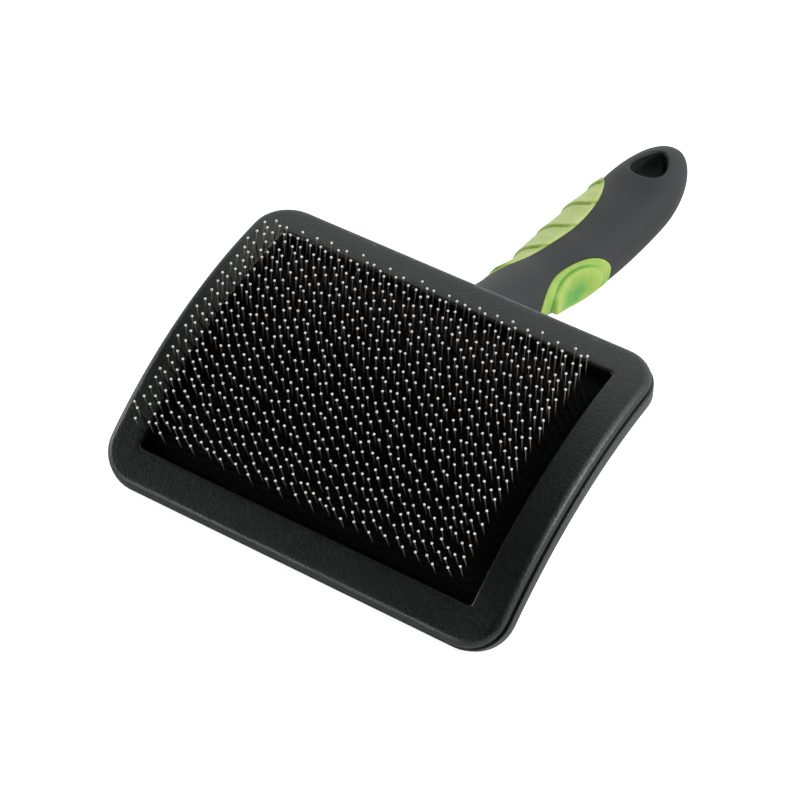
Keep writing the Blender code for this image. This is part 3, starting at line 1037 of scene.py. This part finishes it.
# %% The pin tree
COLUMNS = 44
PINS_PER_COLUMN = 22
STRAY_PIN = PINS_PER_COLUMN
PIN_SIZES = {
    "Columns": COLUMNS,
    "Pins per column": PINS_PER_COLUMN,
    "Column pitch": 2.33,
    "Pin pitch": 2.866,
    "Field shift": -1.4,
    "Head radius": HEAD_RADIUS,
    "Foot height": PAD_FACE - 0.2,
    "Wire radius": 0.16,
    "Tip radius": 0.36,
    "Place jitter": 0.16,
    "Lean": -0.05,
    "Lean jitter": 0.035,
    "Stray pin": STRAY_PIN,
    "Stray pitch": -0.15,
    "Stray roll": -0.30,
    "Seed": 7,
}
WHOLE_NUMBERS = ("Columns", "Pins per column", "Stray pin", "Seed")
KNEE = (0.0, -1.45, 8.5)
PIN_END = (0.0, 0.75, 16.2)
JITTERS = {
    "x jitter": "Place jitter",
    "arc jitter": "Place jitter",
    "pitch jitter": "Lean jitter",
    "roll jitter": "Lean jitter",
}

# Each sum has a name, an operation and two terms. A term is a number, or the name of a size, a
# jitter or an earlier sum.
PLACE_SUMS = (
    # The pin's column and its row.
    ("middle of pin", "ADD", "pin", 0.5),
    ("columns before", "DIVIDE", "middle of pin", "Pins per column"),
    ("column", "FLOOR", "columns before", 0),
    ("pins before", "MULTIPLY", "column", "Pins per column"),
    ("row", "SUBTRACT", "pin", "pins before"),
    # The column's shift, which repeats as 0, 3/4, 1/4, 1/2 of a pitch.
    ("odd", "MODULO", "column", 2),
    ("column of four", "MODULO", "column", 4),
    ("pair", "DIVIDE", "column of four", 2),
    ("later", "FLOOR", "pair", 0),
    ("odd shift", "MULTIPLY", "odd", 0.75),
    ("later shift", "MULTIPLY", "later", 0.25),
    ("shifts", "ADD", "odd shift", "later shift"),
    ("odd and later", "MULTIPLY", "odd", "later"),
    ("overlap", "MULTIPLY", "odd and later", 0.5),
    ("shift", "SUBTRACT", "shifts", "overlap"),
    # The place on the flat sheet, centred.
    ("column gaps", "SUBTRACT", "Columns", 1),
    ("middle column", "MULTIPLY", "column gaps", 0.5),
    ("from middle", "SUBTRACT", "column", "middle column"),
    ("even x", "MULTIPLY", "from middle", "Column pitch"),
    ("x", "ADD", "even x", "x jitter"),
    ("row gaps", "SUBTRACT", "Pins per column", 0.25),
    ("middle row", "MULTIPLY", "row gaps", 0.5),
    ("shifted row", "ADD", "row", "shift"),
    ("rows from middle", "SUBTRACT", "shifted row", "middle row"),
    ("even arc", "MULTIPLY", "rows from middle", "Pin pitch"),
    ("moved arc", "ADD", "even arc", "Field shift"),
    ("arc", "ADD", "moved arc", "arc jitter"),
    # The same place on the drum.
    ("angle", "DIVIDE", "arc", "Head radius"),
    ("foot radius", "ADD", "Head radius", "Foot height"),
    ("sine", "SINE", "angle", 0),
    ("cosine", "COSINE", "angle", 0),
    ("y", "MULTIPLY", "foot radius", "sine"),
    ("above axle", "MULTIPLY", "foot radius", "cosine"),
    ("z", "SUBTRACT", "above axle", "Head radius"),
    # The turn that stands the pin square to the drum, with its lean. The stray pin leans further.
    ("stray", "COMPARE", "pin", "Stray pin"),
    ("square", "SUBTRACT", "pitch jitter", "angle"),
    ("stray pitch", "MULTIPLY", "stray", "Stray pitch"),
    ("pitch", "ADD", "square", "stray pitch"),
    ("leaning", "ADD", "roll jitter", "Lean"),
    ("stray roll", "MULTIPLY", "stray", "Stray roll"),
    ("roll", "ADD", "leaning", "stray roll"),
)


def pin_tree():
    tree = bpy.data.node_groups.new("bristle field", "GeometryNodeTree")
    tree.interface.new_socket("Geometry", in_out="OUTPUT", socket_type="NodeSocketGeometry")
    for name in PIN_SIZES:
        kind = "NodeSocketInt" if name in WHOLE_NUMBERS else "NodeSocketFloat"
        tree.interface.new_socket(name, in_out="INPUT", socket_type=kind)
    size = add_node(tree, "NodeGroupInput").outputs

    # One point for each pin, and the sums that say where it stands.
    known = {name: size[name] for name in PIN_SIZES}
    known["pin"] = add_node(tree, "GeometryNodeInputIndex").outputs[0]
    for number, (name, reach) in enumerate(JITTERS.items()):
        either_way = add_node(
            tree, "FunctionNodeRandomValue", {"Seed": size["Seed"]}, {"data_type": "FLOAT"}
        )
        either_way.inputs[2].default_value = -1.0
        own = add_node(
            tree, "ShaderNodeMath", {0: known["pin"], 1: 1000.0 * number}, {"operation": "ADD"}
        )
        tree.links.new(own.outputs[0], either_way.inputs["ID"])
        scaled = {0: either_way.outputs[1], 1: size[reach]}
        jitter = add_node(tree, "ShaderNodeMath", scaled, {"operation": "MULTIPLY"})
        known[name] = jitter.outputs[0]
    for name, operation, first, second in PLACE_SUMS:
        terms = {0: known.get(first, first), 1: known.get(second, second)}
        result = add_node(tree, "ShaderNodeMath", terms, {"operation": operation})
        known[name] = result.outputs[0]
    count = {0: size["Columns"], 1: size["Pins per column"]}
    count = add_node(tree, "ShaderNodeMath", count, {"operation": "MULTIPLY"}).outputs[0]
    points = add_node(tree, "GeometryNodePoints", {"Count": count}).outputs[0]
    place = {0: known["x"], 1: known["y"], 2: known["z"]}
    place = add_node(tree, "ShaderNodeCombineXYZ", place).outputs[0]
    placed = {"Geometry": points, "Position": place}
    placed = add_node(tree, "GeometryNodeSetPosition", placed).outputs[0]

    # One pin: a wire of two straight runs with a rounded knee, and a ball on its end. The wire
    # carries how far up it each point is, so that its colour can be painted darker near the cloth,
    # as painted shade.
    run = add_node(
        tree,
        "GeometryNodeCurveQuadraticBezier",
        {"Resolution": 2, "Start": (0, 0, 0), "Middle": bezier_middle(), "End": PIN_END},
    ).outputs[0]
    kinked = add_node(
        tree, "GeometryNodeFilletCurve", {"Curve": run, "Count": 3, "Radius": 1.6}, {"mode": "POLY"}
    ).outputs[0]
    along = add_node(tree, "GeometryNodeSplineParameter").outputs["Factor"]
    kinked = add_node(
        tree,
        "GeometryNodeStoreNamedAttribute",
        {"Geometry": kinked, "Name": "rise", "Value": along},
        {"data_type": "FLOAT", "domain": "POINT"},
    ).outputs[0]
    outline = add_node(
        tree, "GeometryNodeCurvePrimitiveCircle", {"Resolution": 6, "Radius": size["Wire radius"]}
    ).outputs[0]
    wire = {"Curve": kinked, "Profile Curve": outline, "Fill Caps": True}
    wire = add_node(tree, "GeometryNodeCurveToMesh", wire).outputs[0]
    wire = {"Geometry": wire, "Material": WIRE}
    wire = add_node(tree, "GeometryNodeSetMaterial", wire).outputs[0]
    ball = add_node(
        tree, "GeometryNodeMeshUVSphere", {"Segments": 8, "Rings": 6, "Radius": size["Tip radius"]}
    ).outputs[0]
    ball = {"Geometry": ball, "Translation": PIN_END}
    ball = add_node(tree, "GeometryNodeTransform", ball).outputs[0]
    ball = {"Geometry": ball, "Material": TIP}
    ball = add_node(tree, "GeometryNodeSetMaterial", ball).outputs[0]
    pin = add_node(tree, "GeometryNodeJoinGeometry")
    tree.links.new(ball, pin.inputs[0])
    tree.links.new(wire, pin.inputs[0])

    # The same pin on every point.
    turns = {0: known["pitch"], 1: known["roll"]}
    turns = add_node(tree, "ShaderNodeCombineXYZ", turns).outputs[0]
    rotation = add_node(tree, "FunctionNodeEulerToRotation", {0: turns}).outputs[0]
    field = add_node(
        tree,
        "GeometryNodeInstanceOnPoints",
        {"Points": placed, "Instance": pin.outputs[0], "Rotation": rotation},
    ).outputs[0]
    real = add_node(tree, "GeometryNodeRealizeInstances", {0: field}).outputs[0]
    smooth_pins = add_node(tree, "GeometryNodeSetShadeSmooth", {"Geometry": real}).outputs[0]
    add_node(tree, "NodeGroupOutput", {"Geometry": smooth_pins})
    return tree


def bezier_middle():
    """The middle control point that puts the curve's halfway point on the knee."""
    return tuple(2 * knee - 0.5 * end for knee, end in zip(KNEE, PIN_END))


# %% The pins
def from_nodes(name, tree, sizes):
    """The mesh that a geometry tree makes, with its named sizes set."""
    carrier = bpy.data.objects.new(name, bpy.data.meshes.new(name))
    bpy.context.scene.collection.objects.link(carrier)
    modifier = carrier.modifiers.new(name, "NODES")
    modifier.node_group = tree
    for item in tree.interface.items_tree:
        if item.in_out == "INPUT" and item.name in sizes:
            modifier[item.identifier] = sizes[item.name]
    graph = bpy.context.evaluated_depsgraph_get()
    mesh = bpy.data.meshes.new_from_object(carrier.evaluated_get(graph))
    bpy.data.objects.remove(carrier)
    return mesh


columns = [f"staple_column_{number + 1:02d}" for number in range(COLUMNS)]
pin_mesh = from_nodes("pins", pin_tree(), PIN_SIZES)
add_piece("bent_pins", pin_mesh, [], "sprung_pad", columns, crease=70)

# %% [markdown]
# ## Floor, light and camera
#
# The brush lies on white paper that glows a little, so that it keeps almost no shadow. The studio's
# walls are bright behind the brush, where they draw the sheen on the head's far side, and dark in
# front of it, which keeps the near side black. Two large panels light the handle's flanks, and two
# small ones draw the bright lines along the frame's right and near edges. The camera is long,
# looks down at forty degrees, and is turned a little.

# %% Floor and light
FLOOR_HALF = 3.0


def paper():
    material, tree, shader, place = start_material("white paper")
    shader.inputs["Roughness"].default_value = 0.9
    fibre = add_node(tree, "ShaderNodeTexNoise", {"Vector": place, "Scale": per_mm(30)})
    shade = add_node(
        tree,
        "ShaderNodeMix",
        {"Factor": fibre.outputs[0], 6: srgb("#f6f6f6"), 7: srgb("#fbfbfb")},
        {"data_type": "RGBA"},
    )
    tree.links.new(shade.outputs[2], shader.inputs["Base Color"])
    shader.inputs["Emission Color"].default_value = srgb("#fafafa")
    ray = add_node(tree, "ShaderNodeLightPath").outputs["Is Camera Ray"]
    glow = add_node(tree, "ShaderNodeMapRange", {"Value": ray, "To Min": 0.12, "To Max": 0.92})
    tree.links.new(glow.outputs[0], shader.inputs["Emission Strength"])
    return material


def add_floor():
    bm = bmesh.new()
    bmesh.ops.create_grid(bm, x_segments=1, y_segments=1, size=FLOOR_HALF)
    mesh = bpy.data.meshes.new("floor")
    bm.to_mesh(mesh)
    bm.free()
    mesh.materials.append(paper())
    floor = bpy.data.objects.new("floor", mesh)
    floor.location.z = -0.3 * MM
    bpy.context.scene.collection.objects.link(floor)


def add_panel(name, place, size, power, target=(0, 0, 0.03)):
    light = bpy.data.lights.new(name, "AREA")
    light.size = size
    light.energy = power
    panel = bpy.data.objects.new(name, light)
    panel.location = place
    panel.rotation_euler = (Vector(target) - Vector(place)).to_track_quat("-Z", "Y").to_euler()
    bpy.context.scene.collection.objects.link(panel)


def add_world():
    """A studio with bright walls behind the brush and dark ones in front of it."""
    world = bpy.data.worlds.new("studio")
    world.use_nodes = True
    tree = world.node_tree
    place = add_node(tree, "ShaderNodeTexCoord").outputs["Generated"]
    split = add_node(tree, "ShaderNodeSeparateXYZ", {"Vector": place})
    depth = add_node(
        tree,
        "ShaderNodeMapRange",
        {
            "Value": split.outputs["Y"],
            "From Min": -0.1,
            "From Max": 0.65,
            "To Min": 0.04,
            "To Max": 1.25,
        },
    )
    tree.nodes["Background"].inputs["Color"].default_value = srgb("#fbffff")
    tree.links.new(depth.outputs[0], tree.nodes["Background"].inputs["Strength"])
    backdrop = add_node(tree, "ShaderNodeBackground", {"Color": srgb("#fbfbfb"), "Strength": 1.0})
    ray = add_node(tree, "ShaderNodeLightPath")
    blend = add_node(
        tree,
        "ShaderNodeMixShader",
        {
            0: ray.outputs["Is Camera Ray"],
            1: tree.nodes["Background"].outputs[0],
            2: backdrop.outputs[0],
        },
    )
    tree.links.new(blend.outputs[0], tree.nodes["World Output"].inputs["Surface"])
    bpy.context.scene.world = world


add_floor()
add_world()
add_panel("left panel", (-1.4, -0.5, 0.3), 0.9, 12)
add_panel("right panel", (1.0, 0.3, 1.2), 0.9, 6)
add_panel("right edge panel", (1.2, 0.2, 0.5), 0.15, 7)
add_panel("near edge panel", (-0.5, -1.1, 0.1), 0.15, 2.2)
bpy.context.scene.view_settings.view_transform = "Standard"

# %% Camera
AZIMUTH = 31.82
ELEVATION = 40.73
ROLL = 2.24
DISTANCE = 784.6
SLIDE_RIGHT = -27.36
SLIDE_UP = -30.05
LENS = 127.7


def add_camera():
    azimuth, elevation, roll = map(math.radians, (AZIMUTH, ELEVATION, ROLL))
    look = Vector(
        (
            -math.sin(azimuth) * math.cos(elevation),
            math.cos(azimuth) * math.cos(elevation),
            -math.sin(elevation),
        )
    )
    level = Vector((math.cos(azimuth), math.sin(azimuth), 0))
    right = level * math.cos(roll) + level.cross(look) * math.sin(roll)
    up = right.cross(look)
    middle = (cad_low + cad_high) / 2
    place = middle + (right * SLIDE_RIGHT + up * SLIDE_UP - look * DISTANCE) * MM
    camera = bpy.data.cameras.new("camera")
    camera.lens = LENS
    holder = bpy.data.objects.new("camera", camera)
    rotation = Matrix((right, up, -look)).transposed().to_4x4()
    holder.matrix_world = Matrix.Translation(place) @ rotation
    bpy.context.scene.collection.objects.link(holder)
    bpy.context.scene.camera = holder


add_camera()
